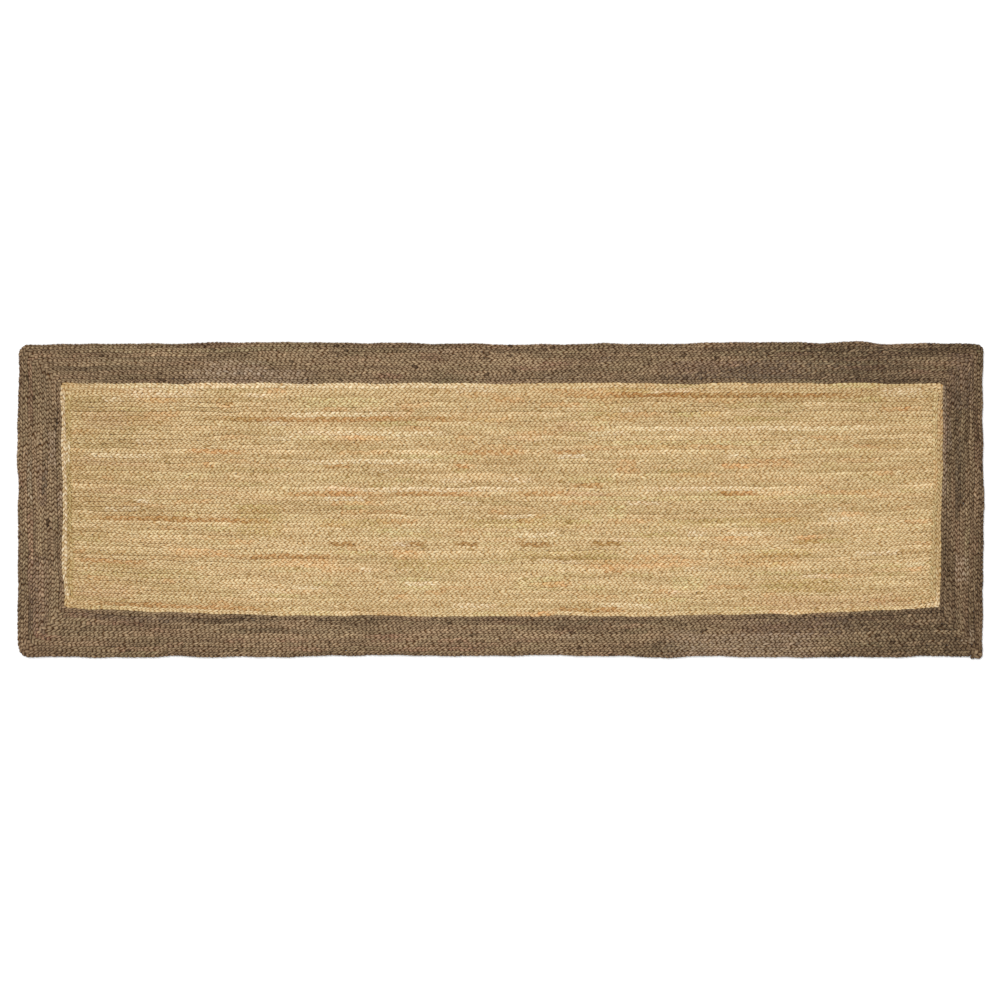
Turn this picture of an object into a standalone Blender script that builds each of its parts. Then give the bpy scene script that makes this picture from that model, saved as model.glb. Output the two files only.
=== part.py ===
"""A hand-braided jute runner rug.

Straight natural braids lie side by side as the field. Two more natural braids
run round them, and dyed braids run round those as the border. Each braid is a
flat bar here, and two sewing threads lie in the grooves between the bars.

Metres, +X along the rug, +Y across it, +Z up. The origin is under the middle
of the rug, on the floor.
"""

import math
import random

import bmesh
import bpy

# Driving dimensions of the whole rug
LENGTH = 1.830
WIDTH = 0.593
THICKNESS = 0.007

# Courses: how many there are and how wide each one is
FIELD_ROWS = 47
EDGING_COURSES = 2
BORDER_COURSES = 9
BORDER_SIDE_WIDTH = 0.0084
BORDER_END_WIDTH = 0.0091
EDGING_END_WIDTH = 0.0085
ROW_TAPER = 0.06  # rows are this share wider than the mean at +Y, and narrower at -Y

# Corners of the innermost outline, and of the outermost one anticlockwise from the lower right
INNER_RADIUS = 0.003
OUTER_RADII = (0.008, 0.016, 0.022, 0.021)

# How handwork moves the courses off true
LOWER_RISE = 0.017  # the field's -Y edge lies this much nearer the middle at the ends
LOWER_PINCH = 0.006  # and its corners are drawn in by this
RIGHT_REACH = 0.0055  # the field reaches this much further at its +X end
TOP_WAVE, TOP_WAVE_LENGTH, TOP_WAVE_CREST = 0.0019, 0.95, 0.55
BOTTOM_WAVE, BOTTOM_WAVE_LENGTH, BOTTOM_WAVE_CREST = 0.0016, 1.25, 0.55
END_WAVE, END_WAVE_LENGTH = 0.0008, 0.40

# Each course round the field is one length of braid, whose two ends meet in a butt joint on the
# -Y side, beside the corner. The first end of the outermost course stands proud there as a tail
TAIL_LENGTH = 0.026
TAIL_PROUD = 0.0050

# Solids
GAP = 0.0003
CHAMFER = 0.0020
THREAD_DIAMETER = 0.0009
THREAD_HEIGHT = 0.0010  # of the thread's axis in a groove, above the groove's mouth
THREAD_TURN = 0.0024  # a turn of the thread cuts the corner by this
SIDE_STEPS = 6
END_STEPS = 2
CORNER_STEPS = 4

# Finishes
NATURAL_JUTE = (0.55, 0.38, 0.20)
BROWN_JUTE = (0.21, 0.136, 0.076)
NATURAL_THREAD = (0.45, 0.33, 0.19)
BROWN_THREAD = (0.11, 0.07, 0.04)
SHADE_SPREAD = 0.10
JUTE_ROUGHNESS = 0.9
THREAD_ROUGHNESS = 0.8

# Worked out from the dimensions above. Outline 0 is round the field rows, and course 1 round that
COURSES = EDGING_COURSES + BORDER_COURSES
HALF_LENGTH = LENGTH / 2
HALF_WIDTH = WIDTH / 2
FIELD_HALF_LENGTH = HALF_LENGTH - BORDER_COURSES * BORDER_END_WIDTH
FIELD_HALF_WIDTH = HALF_WIDTH - BORDER_COURSES * BORDER_SIDE_WIDTH


def clamp(value):
    return min(max(value, 0.0), 1.0)


def seam_heights():
    """Y of each seam across the natural part, from its +Y edge to its -Y edge."""
    count = FIELD_ROWS + 2 * EDGING_COURSES
    mean = 2 * FIELD_HALF_WIDTH / count
    heights = [FIELD_HALF_WIDTH]
    for index in range(count):
        width = mean * (1 + ROW_TAPER * (1 - 2 * index / (count - 1)))
        heights.append(heights[-1] - width)
    return heights


SEAMS = seam_heights()


def even_steps(start, end, steps):
    return [start + (end - start) * step / steps for step in range(steps + 1)]


def outline_sides(index):
    """Half length, -Y side and +Y side of one outline, counted from the inside out."""
    beyond = index - EDGING_COURSES
    if beyond <= 0:
        return FIELD_HALF_LENGTH + beyond * EDGING_END_WIDTH, SEAMS[beyond - 1], SEAMS[-beyond]
    half_width = FIELD_HALF_WIDTH + beyond * BORDER_SIDE_WIDTH
    return FIELD_HALF_LENGTH + beyond * BORDER_END_WIDTH, -half_width, half_width


def wave(position, size, length, crest):
    return size * math.cos(2 * math.pi * (position - crest) / length)


def settle(x, y):
    """Where handwork moves a point of the true plan."""
    across_border = clamp((abs(y) - FIELD_HALF_WIDTH) / (HALF_WIDTH - FIELD_HALF_WIDTH))
    along_border = clamp((abs(x) - FIELD_HALF_LENGTH) / (HALF_LENGTH - FIELD_HALF_LENGTH))
    low = clamp((FIELD_HALF_WIDTH - y) / (2 * FIELD_HALF_WIDTH))
    if y < -FIELD_HALF_WIDTH:
        low = 1 - across_border
    far = clamp(abs(x) / FIELD_HALF_LENGTH)
    new_y = y + LOWER_RISE * far**3 * low
    if y > 0:
        new_y += across_border * wave(x, TOP_WAVE, TOP_WAVE_LENGTH, TOP_WAVE_CREST)
    else:
        new_y -= across_border * wave(x, BOTTOM_WAVE, BOTTOM_WAVE_LENGTH, BOTTOM_WAVE_CREST)
    outward = along_border * wave(y, END_WAVE, END_WAVE_LENGTH, 0.0)
    reach = RIGHT_REACH if x > 0 else 0.0
    outward += (reach - LOWER_PINCH * low**2) * far**2 * (1 - along_border)
    return x + outward * math.copysign(1, x), new_y


def corner_arc(x, y, start_angle, radius):
    """Points of a quarter turn that rounds the corner at x and y."""
    centre_x = x - math.copysign(radius, x)
    centre_y = y - math.copysign(radius, y)
    turns = [math.radians(angle) for angle in even_steps(start_angle, start_angle + 90, CORNER_STEPS)]
    return [(centre_x + radius * math.cos(turn), centre_y + radius * math.sin(turn)) for turn in turns]


def outline(index, inset=0.0):
    """One rounded outline of the true plan, anticlockwise from the start of its -Y side."""
    half_length, bottom, top = outline_sides(index)
    right, left = half_length - inset, inset - half_length
    low, high = bottom + inset, top - inset
    corners = ((right, low, -90), (right, high, 0), (left, high, 90), (left, low, 180))
    arcs = []
    for corner, outer_radius in zip(corners, OUTER_RADII):
        radius = INNER_RADIUS + (outer_radius - INNER_RADIUS) * index / COURSES
        arcs.append(corner_arc(*corner, radius))
    points = []
    for number, steps in enumerate((SIDE_STEPS, END_STEPS, SIDE_STEPS, END_STEPS)):
        start, end = arcs[number - 1][-1], arcs[number][0]
        side = zip(even_steps(start[0], end[0], steps), even_steps(start[1], end[1], steps))
        points += list(side)[:-1] + arcs[number][:-1]
    return points


def joint_of(course):
    """X of the butt joint of one course, through which a thread passes from seam to seam."""
    return HALF_LENGTH - TAIL_LENGTH - (COURSES - course) * BORDER_END_WIDTH


def cut_outline(index, inset, start_x, end_x, proud=0.0):
    """The same outline, from one x on its -Y side round to another, with a proud first end."""
    points = outline(index, inset)
    side_y = points[0][1]
    cut = [(start_x, side_y), *points[SIDE_STEPS:], *points[:SIDE_STEPS], (end_x, side_y)]
    for step in range(CORNER_STEPS + 1):
        x, y = cut[step]
        cut[step] = (x, y - proud * (1 - (step / (CORNER_STEPS + 1)) ** 2))
    return cut


def braid_edge(course, index, inset):
    """The edge of one course that lies along one outline, open at the butt joint of the course."""
    joint = joint_of(course)
    proud = TAIL_PROUD if index == COURSES else 0.0
    return cut_outline(index, inset, joint + GAP / 2, joint - GAP / 2, proud)


def middle_of(points):
    xs, ys = zip(*points)
    return (min(xs) + max(xs)) / 2, (min(ys) + max(ys)) / 2


MIDDLE = middle_of([settle(x, y) for x, y in braid_edge(COURSES, COURSES, GAP / 2)])


def place(point):
    """A point of the true plan, as it lies in the finished rug."""
    x, y = settle(*point)
    return x - MIDDLE[0], y - MIDDLE[1]


def make_material(name, colour, roughness):
    material = bpy.data.materials.new(name)
    material.use_nodes = True
    shader = material.node_tree.nodes["Principled BSDF"]
    shader.inputs["Base Color"].default_value = (*colour, 1)
    shader.inputs["Roughness"].default_value = roughness
    shader.inputs["Metallic"].default_value = 0
    return material


def shaded(colour, shades):
    """The colour of one braid, a little lighter or darker than its neighbours."""
    shade = 1 + shades.uniform(-SHADE_SPREAD, SHADE_SPREAD)
    return tuple(channel * shade for channel in colour)


def add_object(name, data, colour, roughness, collection):
    data.materials.append(make_material(name + "_finish", colour, roughness))
    piece = bpy.data.objects.new(name, data)
    collection.objects.link(piece)
    return piece


def braid_bar(name, right_edge, left_edge, colour, collection):
    """A flat chamfered bar between two edges, which lie to the right and left of its course."""
    steps = len(right_edge) - 1
    cage = bmesh.new()
    bmesh.ops.create_grid(cage, x_segments=steps, y_segments=1, size=0.5)
    for vertex in cage.verts:
        edge = left_edge if vertex.co.y > 0 else right_edge
        x, y = place(edge[round((vertex.co.x + 0.5) * steps)])
        vertex.co = (x, y, 0)
    bmesh.ops.remove_doubles(cage, verts=cage.verts, dist=GAP / 10)
    mesh = bpy.data.meshes.new(name)
    cage.to_mesh(mesh)
    cage.free()
    bar = add_object(name, mesh, colour, JUTE_ROUGHNESS, collection)
    solid = bar.modifiers.new("Thickness", "SOLIDIFY")
    solid.thickness = THICKNESS
    solid.offset = 1
    edges = bar.modifiers.new("Edges", "BEVEL")
    edges.width = CHAMFER
    edges.segments = 1
    edges.limit_method = "ANGLE"
    return bar


def thread(name, points, colour, collection):
    """A sewing thread through points of the true plan, down in the grooves of the underside."""
    curve = bpy.data.curves.new(name, "CURVE")
    curve.dimensions = "3D"
    curve.bevel_depth = THREAD_DIAMETER / 2
    curve.bevel_resolution = 0
    curve.use_fill_caps = True
    spline = curve.splines.new("POLY")
    spline.points.add(len(points) - 1)
    for knot, point in zip(spline.points, points):
        knot.co = (*place(point), THREAD_HEIGHT, 1)
    return add_object(name, curve, colour, THREAD_ROUGHNESS, collection)


def make_field(shades, collection):
    end = outline_sides(0)[0] - GAP / 2
    stations = even_steps(-end, end, SIDE_STEPS)
    for row in range(1, FIELD_ROWS + 1):
        top = SEAMS[row + EDGING_COURSES - 1] - GAP / 2
        bottom = SEAMS[row + EDGING_COURSES] + GAP / 2
        lower = [(x, bottom) for x in stations]
        upper = [(x, top) for x in stations]
        colour = shaded(NATURAL_JUTE, shades)
        braid_bar(f"field_braid_{row:02d}", lower, upper, colour, collection)


def make_courses(shades, collection):
    for course in range(1, COURSES + 1):
        name, colour = f"border_braid_{course - EDGING_COURSES}", BROWN_JUTE
        if course <= EDGING_COURSES:
            name, colour = f"edging_braid_{course}", NATURAL_JUTE
        outer = braid_edge(course, course, GAP / 2)
        inner = braid_edge(course, course - 1, -GAP / 2)
        braid_bar(name, outer, inner, shaded(colour, shades), collection)


def row_route():
    """Back and forth through every seam of the field, turning in the groove at its ends."""
    end = outline_sides(0)[0]
    run_end = end - THREAD_TURN
    seams = SEAMS[EDGING_COURSES : len(SEAMS) - EDGING_COURSES]
    points = []
    for index, seam in enumerate(seams):
        side = -1 if index % 2 == 0 else 1
        if index > 0:
            points.append((-side * end, seam + THREAD_TURN))
        last = seam == seams[-1]
        run = even_steps(-side * run_end, side * run_end, SIDE_STEPS)
        if last:
            run[-1] = joint_of(1) - THREAD_TURN
        points += [(x, seam) for x in run]
        if not last:
            points.append((side * end, seam - THREAD_TURN))
    return points


def crossing(course):
    """Out through the butt joint of one course, from the seam inside it to the seam outside it."""
    joint = joint_of(course)
    inner_y = outline_sides(course - 1)[1]
    outer_y = outline_sides(course)[1]
    return [(joint, inner_y - THREAD_TURN), (joint, outer_y + THREAD_TURN)]


def ring_route(index):
    """Clockwise through the seam on one outline, from the joint inside it to the joint outside it."""
    start = joint_of(index) - THREAD_TURN
    end = joint_of(index + 1) + THREAD_TURN
    return cut_outline(index, 0, end, start)[::-1]


def make_threads(collection):
    natural = row_route() + crossing(1) + ring_route(1)
    thread("field_lacing_thread", natural, NATURAL_THREAD, collection)
    brown = ring_route(EDGING_COURSES)
    for course in range(EDGING_COURSES + 1, COURSES):
        brown += crossing(course) + ring_route(course)
    thread("border_lacing_thread", brown, BROWN_THREAD, collection)


def main():
    for piece in list(bpy.data.objects):
        bpy.data.objects.remove(piece, do_unlink=True)
    collection = bpy.data.collections.new("braided_runner_rug")
    bpy.context.scene.collection.children.link(collection)
    shades = random.Random(7)
    make_field(shades, collection)
    make_courses(shades, collection)
    make_threads(collection)


main()
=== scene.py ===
"""The finished look of a hand-braided jute runner rug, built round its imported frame.

Every flat bar of the frame is replaced by a real three-strand braid that follows
the same course, and every plain thread by zigzag stitches under the seams.
Metres, +X along the rug, +Y across it, +Z up.
"""

import math

import bpy
import numpy as np
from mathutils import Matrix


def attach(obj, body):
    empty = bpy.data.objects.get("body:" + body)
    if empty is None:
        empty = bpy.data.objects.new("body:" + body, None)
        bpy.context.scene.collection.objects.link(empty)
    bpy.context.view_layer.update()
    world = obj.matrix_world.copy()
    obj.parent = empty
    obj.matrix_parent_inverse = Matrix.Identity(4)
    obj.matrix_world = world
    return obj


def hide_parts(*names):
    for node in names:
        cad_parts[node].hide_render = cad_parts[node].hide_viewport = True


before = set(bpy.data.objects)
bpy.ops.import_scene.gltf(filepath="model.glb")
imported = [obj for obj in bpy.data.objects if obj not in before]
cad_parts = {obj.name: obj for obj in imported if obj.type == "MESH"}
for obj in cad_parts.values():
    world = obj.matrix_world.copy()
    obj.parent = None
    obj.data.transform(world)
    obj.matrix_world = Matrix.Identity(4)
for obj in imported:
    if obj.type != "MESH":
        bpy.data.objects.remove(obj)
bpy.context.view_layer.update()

# The plan, as the frame has it
LENGTH = 1.830
WIDTH = 0.593
THICKNESS = 0.007
FIELD_ROWS = 47
EDGING_COURSES = 2
BORDER_COURSES = 9
BORDER_SIDE_WIDTH = 0.0084
BORDER_END_WIDTH = 0.0091
EDGING_END_WIDTH = 0.0085
ROW_TAPER = 0.06  # the first row is this much wider than the mean one, and the last one narrower
INNER_RADIUS = 0.003
OUTER_RADII = (0.008, 0.016, 0.022, 0.021)  # anticlockwise from the +X -Y corner
LOWER_RISE = 0.017  # of the field's -Y side, at its ends
LOWER_PINCH = 0.006  # of the field's ends, at its -Y side
RIGHT_REACH = 0.0055  # of the field, further out at its +X end
TOP_WAVE, TOP_WAVE_LENGTH, TOP_WAVE_CREST = 0.0019, 0.95, 0.55
BOTTOM_WAVE, BOTTOM_WAVE_LENGTH, BOTTOM_WAVE_CREST = 0.0016, 1.25, 0.55
END_WAVE, END_WAVE_LENGTH = 0.0008, 0.40
TAIL_LENGTH = 0.026  # from the +X end to the butt joint of the outermost course
TAIL_PROUD = 0.0050  # how far the first end of that course stands out

COURSES = EDGING_COURSES + BORDER_COURSES
HALF_LENGTH = LENGTH / 2
HALF_WIDTH = WIDTH / 2
FIELD_HALF_LENGTH = HALF_LENGTH - BORDER_COURSES * BORDER_END_WIDTH
FIELD_HALF_WIDTH = HALF_WIDTH - BORDER_COURSES * BORDER_SIDE_WIDTH
SIDE_POINTS = 240
CORNER_POINTS = 12

# One braid, straightened: three strands that cross over and under each other, and that
# stand on edge where they turn back at the sides
STRANDS = 3
BRAID_WIDTH = 0.0081  # this much is fitted into the width of its course
BRAID_PERIOD = 0.0252
PERIOD_SPREAD = 0.04
FULLNESS_SPREAD = 0.04  # some braids are plaited looser and wider than others
FULLNESS_DRIFT = 0.5  # of that spread, within one braid
FULLNESS_RUN = 0.3
NARROW_END = 0.06  # the field braids are this much narrower towards their left ends
NARROW_FROM, NARROW_TO = -0.35, -0.65
SWING = 0.0031  # how far a strand's middle moves to each side
LIFT = 0.0013  # and up and down
STRAND_HALF_WIDTH = 0.0024
STRAND_HALF_THICKNESS = 0.0015
EDGE_SWELL = 0.35  # a strand is this much thicker where it turns back
ROLL_SHARPNESS = 1.1
STRAND_SIDES = 8
PLY_GROOVE = 0.12  # every other line of points lies this much deeper, as between plies
PLY_TWIST = 110.0  # radians a metre
RINGS = 12  # to one period
END_TAPER = 0.003
END_SIZE = 0.75  # of a strand, where it is cut
ROW_TUCK = 0.0012  # the row ends reach this far under the edging

# Handwork: the size of each unevenness, and the length over which it comes and goes
BRAID_SWAY, BRAID_SWAY_RUN = 0.38, 0.08  # radians that a whole braid gets ahead or behind
STRAND_SWAY, STRAND_SWAY_RUN = 0.15, 0.04  # and one strand of it
SWING_DRIFT, SWING_RUN = 0.05, 0.04
LIFT_DRIFT, LIFT_RUN = 0.06, 0.04
WIDTH_DRIFT, WIDTH_RUN = 0.07, 0.03
THICKNESS_DRIFT, THICKNESS_RUN = 0.06, 0.03
TWIST_RANGE = (0.7, 1.3)  # of PLY_TWIST
DRIFT_WAVES = 6
DRIFT_RANGE = (0.5, 1.8)  # waves to one length

# Unevenness of the courses, as waves that all of them follow
RIPPLE = 0.0009
RIPPLE_WAVES = 16
RIPPLE_ALONG = (0.06, 0.40)
RIPPLE_ACROSS = (0.025, 0.09)
RIPPLE_SEEDS = (11, 12)  # for x and for y

# Fibres: noise waves to a metre along a strand, across its width and through its thickness
FINE_FIBRES = (110, 2600, 2600)
COARSE_FIBRES = (60, 900, 900)
SPECKS = (90, 420, 420)
TWINE_TURNS = (1500, 1500, 700)
FIBRE_STARTS = (0, 50)  # each strand takes its fibres from another place of the noise
FIBRE_RELIEF = 0.0002
NOISE_ROUGHNESS = 0.6
NOISE_LOW, NOISE_HIGH = 0.3, 0.7  # where nearly all of a noise lies

# Sewing
STITCH = 0.030
STITCH_POINTS = 8
STITCH_REACH = 0.0020
STITCH_LOW = 0.0006
STITCH_RISE = 0.0022
THREAD_RADIUS = 0.0004

# Studio
CAMERA_LENS = 85
CAMERA_OVER = (-0.0011, 0.0011)
RUG_SHARE = 0.9656  # of the view's width
FLOOR_SIDE = 30.0
FLOOR_GRAIN = (3, 3, 3)  # noise waves to a metre
KEY_STRENGTH = 1.6
KEY_SIZE = math.radians(28)
KEY_TILT = (math.radians(-32), math.radians(-30), 0)

# Places in the dye layer
TONE, WARM, COOL, PALE = range(4)

# Changes of tone, warm, cool and pale where the jute has another shade
RUST = (-0.14, 0.50, 0.00, 0.00)
ORANGE = (0.02, 0.33, 0.05, 0.00)
PINK = (0.03, 0.10, 0.00, 0.28)
MAUVE = (-0.13, 0.26, 0.00, 0.12)
DARK = (-0.40, 0.40, 0.00, 0.00)
OLIVE = (-0.07, 0.12, 0.40, 0.00)
GREEN = (0.06, 0.00, 0.45, 0.05)
CREAM = (0.10, 0.00, 0.05, 0.25)
LIGHT = (0.08, 0.00, 0.00, 0.00)
DIM = (-0.10, 0.00, 0.20, 0.05)
SHADED = (-0.45, 0.00, 0.00, 0.10)
FADE = 0.18  # of a streak's length, at each end of it
STRAND_SHARES = (1.7, 1.0, 0.4)  # how strongly the strands of a braid show its streaks
FLECK = 0.45  # a dark bit of bark takes this much off the tone
FLECK_SHARE = 0.005


# ---------------------------------------------------------------- the plan


def seam_heights():
    """Y of each seam across the natural part, from its +Y edge to its -Y edge."""
    count = FIELD_ROWS + 2 * EDGING_COURSES
    mean = 2 * FIELD_HALF_WIDTH / count
    index = np.arange(count)
    widths = mean * (1 + ROW_TAPER * (1 - 2 * index / (count - 1)))
    return FIELD_HALF_WIDTH - np.concatenate(([0], np.cumsum(widths)))


SEAMS = seam_heights()


def outline_sides(index):
    """Half length, -Y side and +Y side of one outline, counted from the inside out."""
    beyond = index - EDGING_COURSES
    if beyond <= 0:
        return FIELD_HALF_LENGTH + beyond * EDGING_END_WIDTH, SEAMS[beyond - 1], SEAMS[-beyond]
    half_width = FIELD_HALF_WIDTH + beyond * BORDER_SIDE_WIDTH
    return FIELD_HALF_LENGTH + beyond * BORDER_END_WIDTH, -half_width, half_width


def grow(value, start, end):
    """From 0 where the value is at start, evenly to 1 where it is at end."""
    return np.clip((value - start) / (end - start), 0, 1)


def wave(position, size, length, crest):
    """A cosine wave of this size and length, with a crest at this place."""
    return size * np.cos(2 * math.pi * (position - crest) / length)


def settle(points):
    """Where handwork moves points of the true plan."""
    x, y = points[..., 0], points[..., 1]
    across_border = grow(abs(y), FIELD_HALF_WIDTH, HALF_WIDTH)
    along_border = grow(abs(x), FIELD_HALF_LENGTH, HALF_LENGTH)
    low = grow(y, FIELD_HALF_WIDTH, -FIELD_HALF_WIDTH)
    low = np.where(y < -FIELD_HALF_WIDTH, 1 - across_border, low)
    far = grow(abs(x), 0, FIELD_HALF_LENGTH)
    top = wave(x, TOP_WAVE, TOP_WAVE_LENGTH, TOP_WAVE_CREST)
    bottom = wave(x, BOTTOM_WAVE, BOTTOM_WAVE_LENGTH, BOTTOM_WAVE_CREST)
    new_y = y + LOWER_RISE * far**3 * low + across_border * np.where(y > 0, top, -bottom)
    outward = along_border * wave(y, END_WAVE, END_WAVE_LENGTH, 0.0)
    reach = np.where(x > 0, RIGHT_REACH, 0)
    outward += (reach - LOWER_PINCH * low**2) * far**2 * (1 - along_border)
    return np.stack((x + outward * np.sign(x), new_y), axis=-1)


def outline(index):
    """One rounded outline of the true plan, anticlockwise from the start of its -Y side."""
    half_length, bottom, top = outline_sides(index)
    corners = ((half_length, bottom), (half_length, top), (-half_length, top), (-half_length, bottom))
    arcs = []
    for number, (corner, outer_radius) in enumerate(zip(corners, OUTER_RADII)):
        radius = INNER_RADIUS + (outer_radius - INNER_RADIUS) * index / COURSES
        turn = np.radians(90 * (number - 1 + np.arange(CORNER_POINTS + 1) / CORNER_POINTS))
        centre = corner - radius * np.sign(corner)
        arcs.append(centre + radius * np.stack((np.cos(turn), np.sin(turn)), axis=-1))
    points = []
    for number, arc in enumerate(arcs):
        points.append(np.linspace(arcs[number - 1][-1], arc[0], SIDE_POINTS, endpoint=False))
        points.append(arc[:-1])
    return np.concatenate(points)


def joint_of(course):
    """X of the butt joint of one course."""
    return HALF_LENGTH - TAIL_LENGTH - (COURSES - course) * BORDER_END_WIDTH


def cut_outline(index, cut_x, proud=0.0):
    """The same outline, cut at one x on its -Y side, with a proud first end."""
    points = np.roll(outline(index), -SIDE_POINTS, axis=0)
    cut = np.array((cut_x, points[0, 1]))
    last_side = np.linspace(points[-SIDE_POINTS], cut, SIDE_POINTS)
    points = np.concatenate(([cut], points[:-SIDE_POINTS], last_side))
    share = np.arange(CORNER_POINTS + 1) / (CORNER_POINTS + 1)
    points[: CORNER_POINTS + 1, 1] -= proud * (1 - share**2)
    return points


def braid_edge(course, index):
    """The edge of one course that lies along one outline, open at the butt joint of the course."""
    return cut_outline(index, joint_of(course), TAIL_PROUD if index == COURSES else 0.0)


def middle_of(points):
    return (points.min(axis=0) + points.max(axis=0)) / 2


MIDDLE = middle_of(settle(braid_edge(COURSES, COURSES)))


def make_ripples(rng):
    """Waves along and waves across in a metre, and the phase, of each wave of unevenness."""
    along = 1 / rng.uniform(*RIPPLE_ALONG, RIPPLE_WAVES)
    across = rng.choice((-1, 1), RIPPLE_WAVES) / rng.uniform(*RIPPLE_ACROSS, RIPPLE_WAVES)
    return np.stack((along, across, rng.uniform(0, 1, RIPPLE_WAVES)), axis=-1)


RIPPLES = [make_ripples(np.random.default_rng(seed)) for seed in RIPPLE_SEEDS]


def ripple(along, across, waves):
    """How far a point is moved along one axis, when it has these places along and across it."""
    turns = along[..., None] * waves[:, 0] + across[..., None] * waves[:, 1] + waves[:, 2]
    return RIPPLE * math.sqrt(2 / RIPPLE_WAVES) * np.cos(2 * math.pi * turns).sum(axis=-1)


def place(points):
    """Points of the true plan, as they lie in the finished rug."""
    x, y = points[..., 0], points[..., 1]
    uneven = np.stack((ripple(y, x, RIPPLES[0]), ripple(x, y, RIPPLES[1])), axis=-1)
    return settle(points) - MIDDLE + uneven


class Course:
    """The strip that one braid fills, between an edge on its right and one on its left."""

    def __init__(self, right, left):
        self.plan = (right + left) / 2
        self.right, self.left = place(right), place(left)
        steps = np.linalg.norm(np.diff((self.right + self.left) / 2, axis=0), axis=1)
        self.reached = np.concatenate(([0], np.cumsum(steps)))
        self.length = self.reached[-1]

    def at(self, along, across):
        """X and Y at distances along the course, and from -1 to 1 across it."""
        weight = (across + 1) / 2
        return [
            np.interp(along, self.reached, self.right[:, axis]) * (1 - weight)
            + np.interp(along, self.reached, self.left[:, axis]) * weight
            for axis in (0, 1)
        ]

    def plan_at(self, along):
        """X and Y in the true plan, on the middle line of the course."""
        return [np.interp(along, self.reached, self.plan[:, axis]) for axis in (0, 1)]


def row_line(y):
    """A straight line along the field of the true plan."""
    end = outline_sides(0)[0] + ROW_TUCK
    x = np.linspace(-end, end, SIDE_POINTS)
    return np.stack((x, np.full_like(x, y)), axis=-1)


def row_course(row):
    return Course(row_line(SEAMS[row + EDGING_COURSES]), row_line(SEAMS[row + EDGING_COURSES - 1]))


def ring_course(course):
    return Course(braid_edge(course, course), braid_edge(course, course - 1))


# ---------------------------------------------------------------- handwork


def drift(along, length, wavelength, rng):
    """Smooth noise along a course, of size about 1."""
    total = np.zeros_like(along)
    for _ in range(DRIFT_WAVES):
        count = max(1, round(length / wavelength * rng.uniform(*DRIFT_RANGE)))
        total += np.sin(2 * math.pi * (along * count / length + rng.uniform()))
    return total * math.sqrt(2 / DRIFT_WAVES)


def rows(first, last):
    """Y of the top and the bottom of some rows, counted from the first field braid as 1.

    Rows up to 0 and from FIELD_ROWS + 1 on are the long sides of edging and border.
    """
    beyond = BORDER_SIDE_WIDTH * np.arange(1, BORDER_COURSES + 1)
    lines = np.concatenate((SEAMS[0] + beyond[::-1], SEAMS, SEAMS[-1] - beyond))
    return lines[first + COURSES - 1], lines[last + COURSES]


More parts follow.
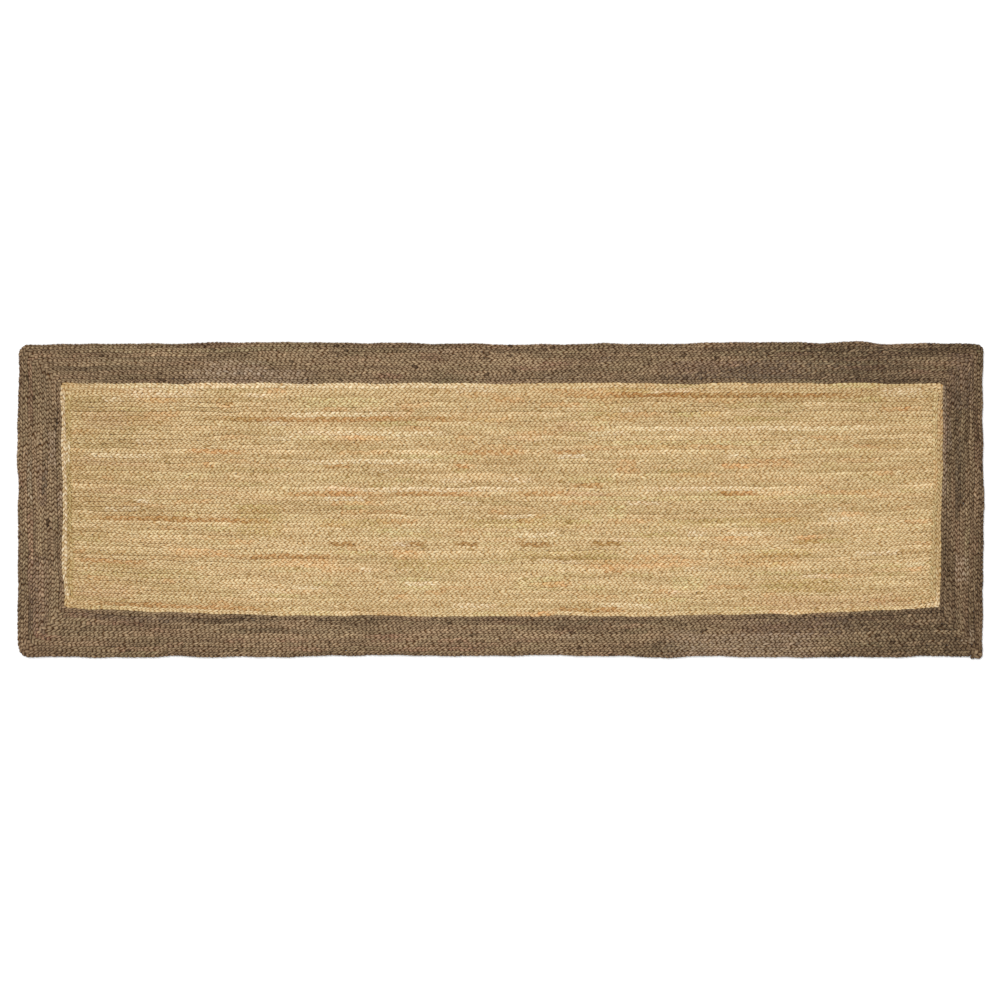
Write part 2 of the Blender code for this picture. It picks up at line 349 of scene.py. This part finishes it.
# Streaks and patches that stand out, in the true plan: x from, x to, (top y, bottom y), shade
STREAKS = (
    # Along the field, and on the edging beside its long sides
    (-0.81, 0.04, rows(-1, -1), CREAM),
    (-0.72, -0.56, rows(0, 1), PINK),
    (0.04, 0.40, rows(0, 0), ORANGE),
    (0.09, 0.36, rows(1, 1), RUST),
    (0.20, 0.70, rows(1, 1), DARK),
    (-0.40, -0.20, rows(2, 3), GREEN),
    (-0.82, -0.74, rows(2, 4), DIM),
    (0.48, 0.58, rows(2, 4), DIM),
    (0.18, 0.33, rows(4, 4), LIGHT),
    (-0.43, -0.16, rows(5, 5), CREAM),
    (0.18, 0.31, rows(5, 5), ORANGE),
    (-0.80, -0.70, rows(5, 8), MAUVE),
    (-0.57, -0.13, rows(6, 6), RUST),
    (-0.14, 0.04, rows(6, 6), ORANGE),
    (0.10, 0.18, rows(7, 8), MAUVE),
    (0.20, 0.74, rows(8, 8), CREAM),
    (-0.82, -0.68, rows(8, 12), DIM),
    (-0.42, -0.08, rows(9, 9), CREAM),
    (0.18, 0.54, rows(11, 11), GREEN),
    (0.22, 0.46, rows(12, 12), ORANGE),
    (-0.60, -0.48, rows(13, 13), RUST),
    (-0.32, -0.20, rows(13, 13), ORANGE),
    (-0.10, 0.05, rows(13, 13), RUST),
    (0.09, 0.16, rows(13, 13), RUST),
    (-0.80, -0.64, rows(14, 14), CREAM),
    (-0.20, -0.03, rows(14, 14), GREEN),
    (0.42, 0.47, rows(14, 14), CREAM),
    (-0.40, -0.14, rows(15, 15), CREAM),
    (-0.82, -0.66, rows(15, 16), MAUVE),
    (0.22, 0.26, rows(15, 16), ORANGE),
    (-0.34, -0.28, rows(16, 16), RUST),
    (-0.09, -0.06, rows(16, 16), RUST),
    (0.41, 0.57, rows(16, 16), ORANGE),
    (-0.70, -0.56, rows(18, 19), DIM),
    (0.13, 0.20, rows(20, 20), RUST),
    (-0.40, 0.08, rows(21, 21), PINK),
    (0.26, 0.52, rows(21, 21), PINK),
    (-0.82, -0.50, rows(22, 22), MAUVE),
    (-0.42, -0.27, rows(22, 22), RUST),
    (-0.22, -0.06, rows(22, 22), RUST),
    (0.01, 0.23, rows(22, 22), RUST),
    (0.41, 0.49, rows(22, 22), RUST),
    (0.58, 0.72, rows(22, 22), ORANGE),
    (0.11, 0.74, rows(23, 23), GREEN),
    (-0.30, -0.25, rows(24, 25), GREEN),
    (-0.51, -0.41, rows(25, 31), OLIVE),
    (0.20, 0.24, rows(25, 27), GREEN),
    (-0.33, -0.10, rows(27, 27), LIGHT),
    (-0.80, -0.44, rows(28, 28), RUST),
    (-0.36, -0.20, rows(28, 29), OLIVE),
    (-0.10, 0.18, rows(28, 29), OLIVE),
    (0.28, 0.60, rows(28, 29), OLIVE),
    (-0.21, -0.01, rows(31, 31), LIGHT),
    (0.02, 0.12, rows(31, 31), CREAM),
    (0.42, 0.51, rows(31, 31), CREAM),
    (0.41, 0.48, rows(32, 32), ORANGE),
    (0.55, 0.62, rows(32, 32), ORANGE),
    (-0.33, -0.27, rows(33, 33), DARK),
    (-0.20, -0.14, rows(33, 33), DARK),
    (-0.09, -0.04, rows(33, 33), DARK),
    (0.03, 0.10, rows(33, 33), DARK),
    (0.17, 0.24, rows(33, 33), DARK),
    (0.55, 0.66, rows(33, 33), OLIVE),
    (-0.64, -0.50, rows(35, 36), ORANGE),
    (-0.21, -0.15, rows(35, 36), ORANGE),
    (0.00, 0.24, rows(35, 36), OLIVE),
    (0.48, 0.60, rows(35, 36), OLIVE),
    (-0.50, -0.30, rows(36, 36), RUST),
    (-0.46, -0.30, rows(37, 38), ORANGE),
    (-0.22, -0.04, rows(37, 38), OLIVE),
    (0.15, 0.40, rows(37, 38), ORANGE),
    (0.41, 0.58, rows(36, 38), ORANGE),
    (-0.82, -0.66, rows(38, 38), RUST),
    (0.19, 0.24, rows(39, 39), RUST),
    (0.59, 0.68, rows(41, 41), ORANGE),
    (-0.20, -0.12, rows(41, 43), GREEN),
    (0.02, 0.12, rows(41, 43), GREEN),
    (0.32, 0.39, rows(41, 43), GREEN),
    (0.48, 0.66, rows(42, 44), OLIVE),
    (-0.40, -0.33, rows(43, 43), CREAM),
    (-0.82, -0.69, rows(44, 46), MAUVE),
    (0.46, 0.80, rows(46, 48), MAUVE),
    (-0.10, 0.00, rows(47, 47), CREAM),
    (0.18, 0.30, rows(47, 47), CREAM),
    (-0.80, -0.40, rows(48, 48), RUST),
    (0.09, 0.24, rows(48, 48), RUST),
    # On the edging across the ends of the field
    (-0.836, -0.823, (0.21, -0.20), PINK),
    (-0.836, -0.823, (0.21, -0.20), SHADED),
    (-0.822, -0.813, (0.20, -0.20), OLIVE),
    (-0.822, -0.813, (0.20, -0.20), DIM),
    (0.823, 0.836, (0.21, -0.18), SHADED),
    (0.813, 0.822, (0.20, -0.20), DIM),
    (0.813, 0.822, (0.00, -0.20), DIM),
    (0.813, 0.822, (-0.06, -0.20), DIM),
    # Along the long sides of the border
    (-0.80, -0.30, rows(-9, -7), LIGHT),
    (-0.84, -0.20, rows(-9, -9), GREEN),
    (0.35, 0.85, rows(-9, -8), OLIVE),
    (-0.34, 0.10, rows(-8, -2), LIGHT),
    (-0.82, -0.45, rows(-7, -7), DIM),
    (-0.86, -0.66, rows(-5, -5), DIM),
    (-0.14, 0.06, rows(-3, -3), DIM),
    (0.30, 0.54, rows(-3, -3), DIM),
    (-0.57, -0.43, rows(-6, -4), PINK),
    (-0.62, -0.34, rows(-4, -2), PINK),
    (0.28, 0.60, rows(-6, -3), MAUVE),
    (0.40, 0.84, rows(-9, -2), DIM),
    (0.56, 0.70, rows(-6, -5), DIM),
    # Painted shadow: the first border course under the field's -Y edging, darker towards the right end
    (0.62, 0.88, rows(50, 50), DIM),
    (-0.82, -0.60, rows(51, 51), MAUVE),
    (-0.70, -0.40, rows(51, 51), DIM),
    (0.02, 0.30, rows(51, 51), DIM),
    (-0.55, 0.20, rows(52, 57), LIGHT),
    (-0.54, -0.28, rows(53, 53), DIM),
    (0.43, 0.68, rows(51, 54), MAUVE),
    (0.30, 0.62, rows(54, 58), PINK),
    (0.27, 0.40, rows(55, 57), DIM),
    (0.60, 0.90, rows(51, 58), DIM),
    # On the ends of the border
    (-0.90, -0.86, (-0.12, -0.26), MAUVE),
    (-0.88, -0.86, (0.06, -0.02), MAUVE),
    (-0.86, -0.84, (0.13, 0.06), PINK),
    (-0.88, -0.84, (-0.13, -0.20), LIGHT),
    (-0.87, -0.86, (0.24, 0.00), DIM),
    (0.832, 0.842, (0.22, 0.00), PINK),
    (0.842, 0.90, (0.28, 0.17), MAUVE),
    (0.86, 0.88, (0.12, -0.02), DIM),
    (0.86, 0.87, (0.20, -0.05), DIM),
    (0.86, 0.89, (-0.12, -0.17), PINK),
)


class Dye:
    """How the shade of one kind of jute changes, as tone, warm, cool and pale."""

    MEAN_TONE = 0.5
    LONG_RUN = 0.35
    ODD_RUN = 0.06
    ODD_SIZES = (0.15, 0.85)  # half of an odd stretch, in ODD_RUN
    ODD_STRENGTHS = (0.1, 0.4)

    def __init__(self, braid_spread, lobe_spread, hue, odd_shares, place_tone):
        self.braid_spread = braid_spread
        self.lobe_spread = lobe_spread
        self.hue = hue
        self.odd_shares = odd_shares
        self.place_tone = place_tone

    def of_braid(self, along, course, rng):
        """Plain shades (ring, 4) of a braid, and how its odd stretches and streaks change them."""
        length = course.length
        x, y = course.plan_at(along)
        shades = np.zeros((len(along), 4))
        shades[:, TONE] = self.MEAN_TONE + rng.normal(0, self.braid_spread) + self.place_tone(x, y)
        shades[:, TONE] += self.braid_spread * drift(along, length, self.LONG_RUN, rng)
        hue = self.hue * drift(along, length, self.LONG_RUN, rng)
        shades[:, WARM], shades[:, COOL] = np.clip(hue, 0, 1), np.clip(-hue, 0, 1)
        marks = np.zeros_like(shades)
        for shade, share in self.odd_shares.items():
            for _ in range(rng.poisson(share * length / self.ODD_RUN)):
                half = self.ODD_RUN * rng.uniform(*self.ODD_SIZES)
                inside = 1 - abs(along - rng.uniform(0, length)) / half
                marks[:, shade] += grow(inside, 0, FADE) * rng.uniform(*self.ODD_STRENGTHS)
        for start, end, (top, bottom), shade in STREAKS:
            inside = np.minimum(x - start, end - x) / (end - start)
            share = grow(inside, 0, FADE) * ((y < top) & (y > bottom))
            marks += share[:, None] * np.array(shade)
        return shades, marks

    def of_strand(self, shades, turn, rng):
        """Shades of one strand, every lobe of which has a tone of its own.

        A lobe is half a turn, from one dive under the other strands to the next.
        """
        lobe = np.floor((turn + math.pi / 4) / math.pi).astype(int)
        lobe -= lobe.min()
        tones = rng.normal(0, self.lobe_spread, lobe.max() + 1)
        tones -= FLECK * (rng.uniform(size=len(tones)) < FLECK_SHARE)
        shades = shades.copy()
        shades[:, TONE] += tones[lobe]
        return np.clip(shades, 0, 1)


def field_tone(x, y):
    """The field is a little darker at its ends and along its upper right rows."""
    left = grow(x, -0.62, -0.82)
    right = grow(x, 0.5, 0.7)
    upper_right = grow(y, 0.15, 0.20) * grow(x, 0.1, 0.3)
    return -0.12 * left - 0.05 * right - 0.06 * upper_right


def border_tone(x, y):
    """The border darkens towards its right end."""
    return -0.16 * grow(x, 0.55, 0.85)


NATURAL_DYE = Dye(0.055, 0.06, 0.07, {WARM: 0.09, COOL: 0.12, PALE: 0.03}, field_tone)
BROWN_DYE = Dye(0.055, 0.06, 0.11, {WARM: 0.12, COOL: 0.10, PALE: 0.02}, border_tone)


# ---------------------------------------------------------------- braids


def strand_rings(along, turn, rng):
    """Points (ring, side, 3) of one strand round its straightened braid, and their fibre layer."""
    length = along[-1]
    across = SWING * np.sin(turn) * (1 + SWING_DRIFT * drift(along, length, SWING_RUN, rng))
    height = LIFT * np.sin(2 * turn) * (1 + LIFT_DRIFT * drift(along, length, LIFT_RUN, rng))

    heading = np.stack([np.gradient(values, along) for values in (along, across, height)], axis=-1)
    heading /= np.linalg.norm(heading, axis=1, keepdims=True)
    level = np.stack((-heading[:, 1], heading[:, 0], np.zeros_like(along)), axis=-1)
    level /= np.linalg.norm(level, axis=1, keepdims=True)
    upright = np.cross(heading, level)
    roll = math.pi / 2 * (1 - np.clip(ROLL_SHARPNESS * np.cos(turn), -1, 1))[:, None]
    side = level * np.cos(roll) - upright * np.sin(roll)
    up = level * np.sin(roll) + upright * np.cos(roll)

    from_end = np.minimum(along, length - along)
    taper = END_SIZE + (1 - END_SIZE) * np.clip(from_end / END_TAPER, 0, 1) ** 0.5
    half_width = STRAND_HALF_WIDTH * taper * (1 + WIDTH_DRIFT * drift(along, length, WIDTH_RUN, rng))
    half_thickness = STRAND_HALF_THICKNESS * taper * (1 + EDGE_SWELL * np.sin(turn) ** 2)
    half_thickness *= 1 + THICKNESS_DRIFT * drift(along, length, THICKNESS_RUN, rng)
    twist = PLY_TWIST * rng.choice((-1, 1)) * rng.uniform(*TWIST_RANGE)
    angle = np.arange(STRAND_SIDES) * 2 * math.pi / STRAND_SIDES + (twist * along)[:, None]
    depth = 1 - PLY_GROOVE * (np.arange(STRAND_SIDES) % 2)
    out_side = half_width[:, None] * np.cos(angle) * depth
    out_up = half_thickness[:, None] * np.sin(angle) * depth
    points = np.stack((along, across, height + THICKNESS / 2), axis=-1)[:, None, :]
    points = points + out_side[..., None] * side[:, None, :] + out_up[..., None] * up[:, None, :]
    fibre_start = rng.uniform(*FIBRE_STARTS)
    fibre = np.stack(np.broadcast_arrays(along[:, None] + fibre_start, out_side, out_up), axis=-1)
    return points, fibre


def tube_faces(rings):
    """Corner lists of the quads round every strand, and of its end caps."""
    ring = np.arange(rings - 1)[:, None] * STRAND_SIDES
    side = np.arange(STRAND_SIDES)
    beside = (side + 1) % STRAND_SIDES
    ahead = ring + STRAND_SIDES
    quads = np.stack((ring + side, ring + beside, ahead + beside, ahead + side), axis=-1).reshape(-1, 4)
    size = rings * STRAND_SIDES
    caps = []
    for strand in range(STRANDS):
        caps += [strand * size + side[::-1], (strand + 1) * size - STRAND_SIDES + side]
    return np.concatenate([quads + strand * size for strand in range(STRANDS)]), caps


def mesh_of(name, points, quads, caps):
    mesh = bpy.data.meshes.new(name)
    corners = np.concatenate([quads.ravel(), *caps])
    sizes = np.concatenate((np.full(len(quads), 4), [len(cap) for cap in caps])).astype(int)
    starts = np.concatenate(([0], np.cumsum(sizes)[:-1]))
    mesh.vertices.add(len(points))
    mesh.vertices.foreach_set("co", points.astype(np.float32).ravel())
    mesh.loops.add(len(corners))
    mesh.loops.foreach_set("vertex_index", corners.astype(np.int32))
    mesh.polygons.add(len(sizes))
    mesh.polygons.foreach_set("loop_start", starts.astype(np.int32))
    mesh.update(calc_edges=True)
    mesh.validate()
    mesh.shade_smooth()
    return mesh


def add_layer(mesh, name, kind, values):
    layer = mesh.attributes.new(name, kind, "POINT")
    field = {"FLOAT": "value", "FLOAT_COLOR": "color", "FLOAT_VECTOR": "vector"}[kind]
    layer.data.foreach_set(field, values.astype(np.float32).ravel())


def finish_piece(piece, node, material):
    """Put a new piece in the scene, in the place of its plain node."""
    bpy.context.scene.collection.objects.link(piece)
    piece.data.materials.append(material)
    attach(piece, "root")
    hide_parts(node)


def make_braid(node, course, material, dye, seed):
    """Plait three strands along a course, and give them their shades."""
    rng = np.random.default_rng(seed)
    length = course.length
    periods = round(length / BRAID_PERIOD * (1 + rng.uniform(-PERIOD_SPREAD, PERIOD_SPREAD)))
    along = np.linspace(0, length, periods * RINGS + 1)
    beat = 2 * math.pi * (along * periods / length + rng.uniform())
    beat += BRAID_SWAY * drift(along, length, BRAID_SWAY_RUN, rng)
    looseness = rng.normal() + FULLNESS_DRIFT * drift(along, length, FULLNESS_RUN, rng)
    fullness = 1 + FULLNESS_SPREAD * looseness
    plan_x, plan_y = course.plan_at(along)
    in_field = (abs(plan_y) < SEAMS[EDGING_COURSES]) & (abs(plan_x) < outline_sides(0)[0])
    fullness -= NARROW_END * in_field * grow(plan_x, NARROW_FROM, NARROW_TO)
    plain, marks = dye.of_braid(along, course, rng)
    strand_shares = rng.permutation(STRAND_SHARES)
    points, fibres, shades = [], [], []
    for strand in range(STRANDS):
        sway = STRAND_SWAY * drift(along, length, STRAND_SWAY_RUN, rng)
        turn = beat + 2 * math.pi * strand / STRANDS + sway
        straight, fibre = strand_rings(along, turn, rng)
        across = fullness[:, None] * straight[..., 1] / (BRAID_WIDTH / 2)
        x, y = course.at(straight[..., 0], across)
        points.append(np.stack((x, y, straight[..., 2]), axis=-1).reshape(-1, 3))
        fibres.append(fibre.reshape(-1, 3))
        shade = dye.of_strand(plain + strand_shares[strand] * marks, turn, rng)
        shades.append(np.repeat(shade, STRAND_SIDES, axis=0))
    quads, caps = tube_faces(len(along))
    points = np.concatenate(points)
    mesh = mesh_of(node, points, quads, caps)
    add_layer(mesh, "fibre", "FLOAT_VECTOR", np.concatenate(fibres))
    add_layer(mesh, "dye", "FLOAT_COLOR", np.concatenate(shades))
    # How far each point lies above or below the braid's middle height, which the material uses to paint
    # shade into the gaps
    add_layer(mesh, "painted_shade_height", "FLOAT", abs(points[:, 2] / (THICKNESS / 2) - 1))
    finish_piece(bpy.data.objects.new(node + "_plaited", mesh), node, material)


# ---------------------------------------------------------------- materials


class Nodes:
    """Short ways to add and join shader nodes."""

    def __init__(self, name):
        self.material = bpy.data.materials.new(name)
        self.material.use_nodes = True
        self.tree = self.material.node_tree
        self.shader = self.tree.nodes["Principled BSDF"]

    def add(self, kind, **settings):
        made = self.tree.nodes.new("ShaderNode" + kind)
        for key, value in settings.items():
            setattr(made, key, value)
        return made

    def feed(self, socket, value):
        """Join a socket to another node's output, or set it to a constant."""
        if isinstance(value, bpy.types.NodeSocket):
            self.tree.links.new(value, socket)
        else:
            socket.default_value = value

    def math(self, operation, first, second=0.0):
        made = self.add("Math", operation=operation)
        self.feed(made.inputs[0], first)
        self.feed(made.inputs[1], second)
        return made.outputs[0]

    def mix(self, share, first, second, blend="MIX"):
        """A blend of two colours, which a Mix node takes at sockets 6 and 7 and gives at 2."""
        made = self.add("Mix", data_type="RGBA", blend_type=blend)
        self.feed(made.inputs[0], share)
        self.feed(made.inputs[6], first)
        self.feed(made.inputs[7], second)
        return made.outputs[2]

    def ramp(self, value, low, high, to_low=0.0, to_high=1.0):
        """A value's place between low and high, carried over to between to_low and to_high."""
        made = self.add("MapRange", clamp=True)
        for socket, number in zip(made.inputs[:5], (value, low, high, to_low, to_high)):
            self.feed(socket, number)
        return made.outputs[0]

    def noise(self, vector, detail, waves):
        """Noise with its own number of waves to a metre along each axis of the vector."""
        scaled = self.add("VectorMath", operation="MULTIPLY")
        self.feed(scaled.inputs[0], vector)
        scaled.inputs[1].default_value = waves
        made = self.add("TexNoise")
        self.feed(made.inputs["Vector"], scaled.outputs[0])
        made.inputs["Scale"].default_value = 1.0
        made.inputs["Detail"].default_value = detail
        made.inputs["Roughness"].default_value = NOISE_ROUGHNESS
        return made.outputs["Fac"]

    def bump(self, height, strength):
        made = self.add("Bump")
        made.inputs["Strength"].default_value = strength
        made.inputs["Distance"].default_value = FIBRE_RELIEF
        self.feed(made.inputs["Height"], height)
        self.feed(self.shader.inputs["Normal"], made.outputs[0])


def jute_material(name, dark, light, warm, cool, pale, painted_gap_shade):
    """Dull plant fibre: long fine streaks along each strand, in shades that the dye layer gives, with
    painted shade in the gaps between its lobes.
    """
    nodes = Nodes(name)
    dye = nodes.add("Attribute", attribute_name="dye")
    shades = nodes.add("SeparateColor")
    nodes.feed(shades.inputs[0], dye.outputs["Color"])
    fibre = nodes.add("Attribute", attribute_name="fibre").outputs["Vector"]
    # Height off the braid's middle, for the painted shade below
    painted_shade_height = nodes.add("Attribute", attribute_name="painted_shade_height").outputs["Fac"]
    fine = nodes.noise(fibre, 3.0, FINE_FIBRES)
    coarse = nodes.noise(fibre, 2.0, COARSE_FIBRES)
    speck = nodes.noise(fibre, 1.0, SPECKS)

    tone = nodes.math("ADD", shades.outputs[0], nodes.ramp(fine, NOISE_LOW, NOISE_HIGH, -0.22, 0.22))
    tone = nodes.math("ADD", tone, nodes.ramp(coarse, NOISE_LOW, NOISE_HIGH, -0.20, 0.20))
    tone = nodes.math("ADD", tone, nodes.ramp(speck, 0.20, 0.28, -0.6, 0.0))
    colour = nodes.mix(nodes.ramp(tone, 0.0, 1.0), (*dark, 1), (*light, 1))
    colour = nodes.mix(shades.outputs[1], colour, (*warm, 1), "MULTIPLY")
    colour = nodes.mix(shades.outputs[2], colour, (*cool, 1), "MULTIPLY")
    colour = nodes.mix(dye.outputs["Alpha"], colour, (*pale, 1))
    # Painted shade: darker where a strand dips towards the braid's middle height, in the gaps between
    # lobes
    colour = nodes.mix(nodes.ramp(painted_shade_height, 0.30, 0.75, 1.0, 0.0), colour, (*painted_gap_shade, 1), "MULTIPLY")
    nodes.feed(nodes.shader.inputs["Base Color"], colour)

    nodes.feed(nodes.shader.inputs["Roughness"], nodes.ramp(fine, NOISE_LOW, NOISE_HIGH, 0.92, 0.74))
    nodes.shader.inputs["Specular IOR Level"].default_value = 0.2
    nodes.shader.inputs["Sheen Weight"].default_value = 0.05
    nodes.shader.inputs["Sheen Roughness"].default_value = 0.5
    nodes.bump(nodes.math("ADD", fine, nodes.math("MULTIPLY", coarse, 1.5)), strength=0.7)
    return nodes.material


def thread_material(name, dark, light):
    """Twisted twine with a fine grain, seen only under the rug."""
    nodes = Nodes(name)
    place_at = nodes.add("NewGeometry").outputs["Position"]
    turns = nodes.noise(place_at, 2.0, TWINE_TURNS)
    nodes.feed(nodes.shader.inputs["Base Color"], nodes.mix(turns, (*dark, 1), (*light, 1)))
    nodes.feed(nodes.shader.inputs["Roughness"], nodes.ramp(turns, NOISE_LOW, NOISE_HIGH, 0.7, 0.9))
    nodes.bump(turns, strength=0.5)
    return nodes.material


def floor_material():
    nodes = Nodes("pale_floor")
    grain = nodes.noise(nodes.add("TexCoord").outputs["Object"], 3.0, FLOOR_GRAIN)
    colour = nodes.mix(grain, (0.91, 0.91, 0.91, 1), (0.93, 0.93, 0.93, 1))
    nodes.feed(nodes.shader.inputs["Base Color"], colour)
    nodes.shader.inputs["Roughness"].default_value = 0.9
    return nodes.material


# ---------------------------------------------------------------- sewing


def stitches(line):
    """Points of a thread that zigzags under one seam, rising into the braid on each side."""
    steps = np.linalg.norm(np.diff(line, axis=0), axis=1)
    reached = np.concatenate(([0], np.cumsum(steps)))
    count = round(reached[-1] / STITCH) * STITCH_POINTS
    along = np.linspace(0, reached[-1], count + 1)
    x, y = (np.interp(along, reached, line[:, axis]) for axis in (0, 1))
    heading = np.stack((np.gradient(x), np.gradient(y)), axis=-1)
    heading /= np.linalg.norm(heading, axis=1, keepdims=True)
    swing = np.sin(2 * math.pi * np.arange(count + 1) / STITCH_POINTS)
    away = STITCH_REACH * swing
    height = STITCH_LOW + STITCH_RISE * swing**4
    return np.stack((x - away * heading[:, 1], y + away * heading[:, 0], height), axis=-1)


def make_thread(node, lines, material):
    """A twine curve with one run of stitches under each seam line of the true plan."""
    curve = bpy.data.curves.new(node + "_stitches", "CURVE")
    curve.dimensions = "3D"
    curve.bevel_depth = THREAD_RADIUS
    curve.bevel_resolution = 0
    curve.use_fill_caps = True
    for line in lines:
        points = stitches(place(line))
        spline = curve.splines.new("POLY")
        spline.points.add(len(points) - 1)
        flat = np.concatenate((points, np.ones((len(points), 1))), axis=1)
        spline.points.foreach_set("co", flat.astype(np.float32).ravel())
    finish_piece(bpy.data.objects.new(node + "_stitches", curve), node, material)


def end_line(side):
    """The line between the cut row ends and the edging, at one end of the field."""
    end, bottom, top = outline_sides(0)
    y = np.linspace(bottom, top, SIDE_POINTS)
    return np.stack((np.full_like(y, side * end), y), axis=-1)


def make_sewing():
    natural = thread_material("natural_thread_finish", (0.26, 0.18, 0.09), (0.62, 0.48, 0.30))
    brown = thread_material("brown_thread_finish", (0.05, 0.03, 0.02), (0.20, 0.13, 0.08))
    lines = [row_line(y) for y in SEAMS[EDGING_COURSES : len(SEAMS) - EDGING_COURSES]]
    lines += [end_line(-1), end_line(1)]
    lines += [braid_edge(index, index) for index in range(1, EDGING_COURSES)]
    make_thread("field_lacing_thread", lines, natural)
    lines = [braid_edge(index, index) for index in range(EDGING_COURSES, COURSES)]
    make_thread("border_lacing_thread", lines, brown)


def make_braids():
    natural = jute_material(
        "natural_jute_finish",
        dark=(0.36, 0.24, 0.092),
        light=(0.81, 0.66, 0.41),
        warm=(1.0, 0.76, 0.60),
        cool=(0.92, 1.0, 0.84),
        pale=(0.80, 0.70, 0.52),
        # Painted shade colour for the gaps between lobes
        painted_gap_shade=(0.75, 0.59, 0.40),
    )
    brown = jute_material(
        "brown_jute_finish",
        dark=(0.046, 0.022, 0.006),
        light=(0.49, 0.352, 0.208),
        warm=(1.0, 0.82, 0.88),
        cool=(0.90, 1.0, 0.93),
        pale=(0.40, 0.31, 0.22),
        # Painted shade colour for the gaps between lobes
        painted_gap_shade=(0.32, 0.20, 0.10),
    )
    for row in range(1, FIELD_ROWS + 1):
        make_braid(f"field_braid_{row:02d}", row_course(row), natural, NATURAL_DYE, row)
    for course in range(1, COURSES + 1):
        if course <= EDGING_COURSES:
            node, slot, material, dye = f"edging_braid_{course}", "natural_jute", natural, NATURAL_DYE
        else:
            node = f"border_braid_{course - EDGING_COURSES}"
            slot, material, dye = "brown_jute", brown, BROWN_DYE
        make_braid(node, ring_course(course), material, dye, FIELD_ROWS + course)


# ---------------------------------------------------------------- studio


def make_camera():
    """Straight above the rug, with a view just wider than the rug is long."""
    data = bpy.data.cameras.new("camera")
    data.lens = CAMERA_LENS
    height = THICKNESS + LENGTH / RUG_SHARE * data.lens / data.sensor_width
    camera = bpy.data.objects.new("camera", data)
    camera.location = (*CAMERA_OVER, height)
    bpy.context.scene.collection.objects.link(camera)
    bpy.context.scene.camera = camera


def make_floor():
    mesh = bpy.data.meshes.new("floor")
    half = FLOOR_SIDE / 2
    corners = [(-half, -half, 0), (half, -half, 0), (half, half, 0), (-half, half, 0)]
    mesh.from_pydata(corners, [], [(0, 1, 2, 3)])
    floor = bpy.data.objects.new("floor", mesh)
    mesh.materials.append(floor_material())
    bpy.context.scene.collection.objects.link(floor)


def make_light():
    world = bpy.data.worlds.new("studio")
    world.use_nodes = True
    background = world.node_tree.nodes["Background"]
    background.inputs["Color"].default_value = (1, 1, 1, 1)
    background.inputs["Strength"].default_value = 1.0
    bpy.context.scene.world = world
    data = bpy.data.lights.new("key", "SUN")
    data.energy = KEY_STRENGTH
    data.angle = KEY_SIZE
    key = bpy.data.objects.new("key", data)
    key.rotation_euler = KEY_TILT
    bpy.context.scene.collection.objects.link(key)
    bpy.context.scene.view_settings.view_transform = "Standard"


make_camera()
make_braids()
make_sewing()
make_floor()
make_light()
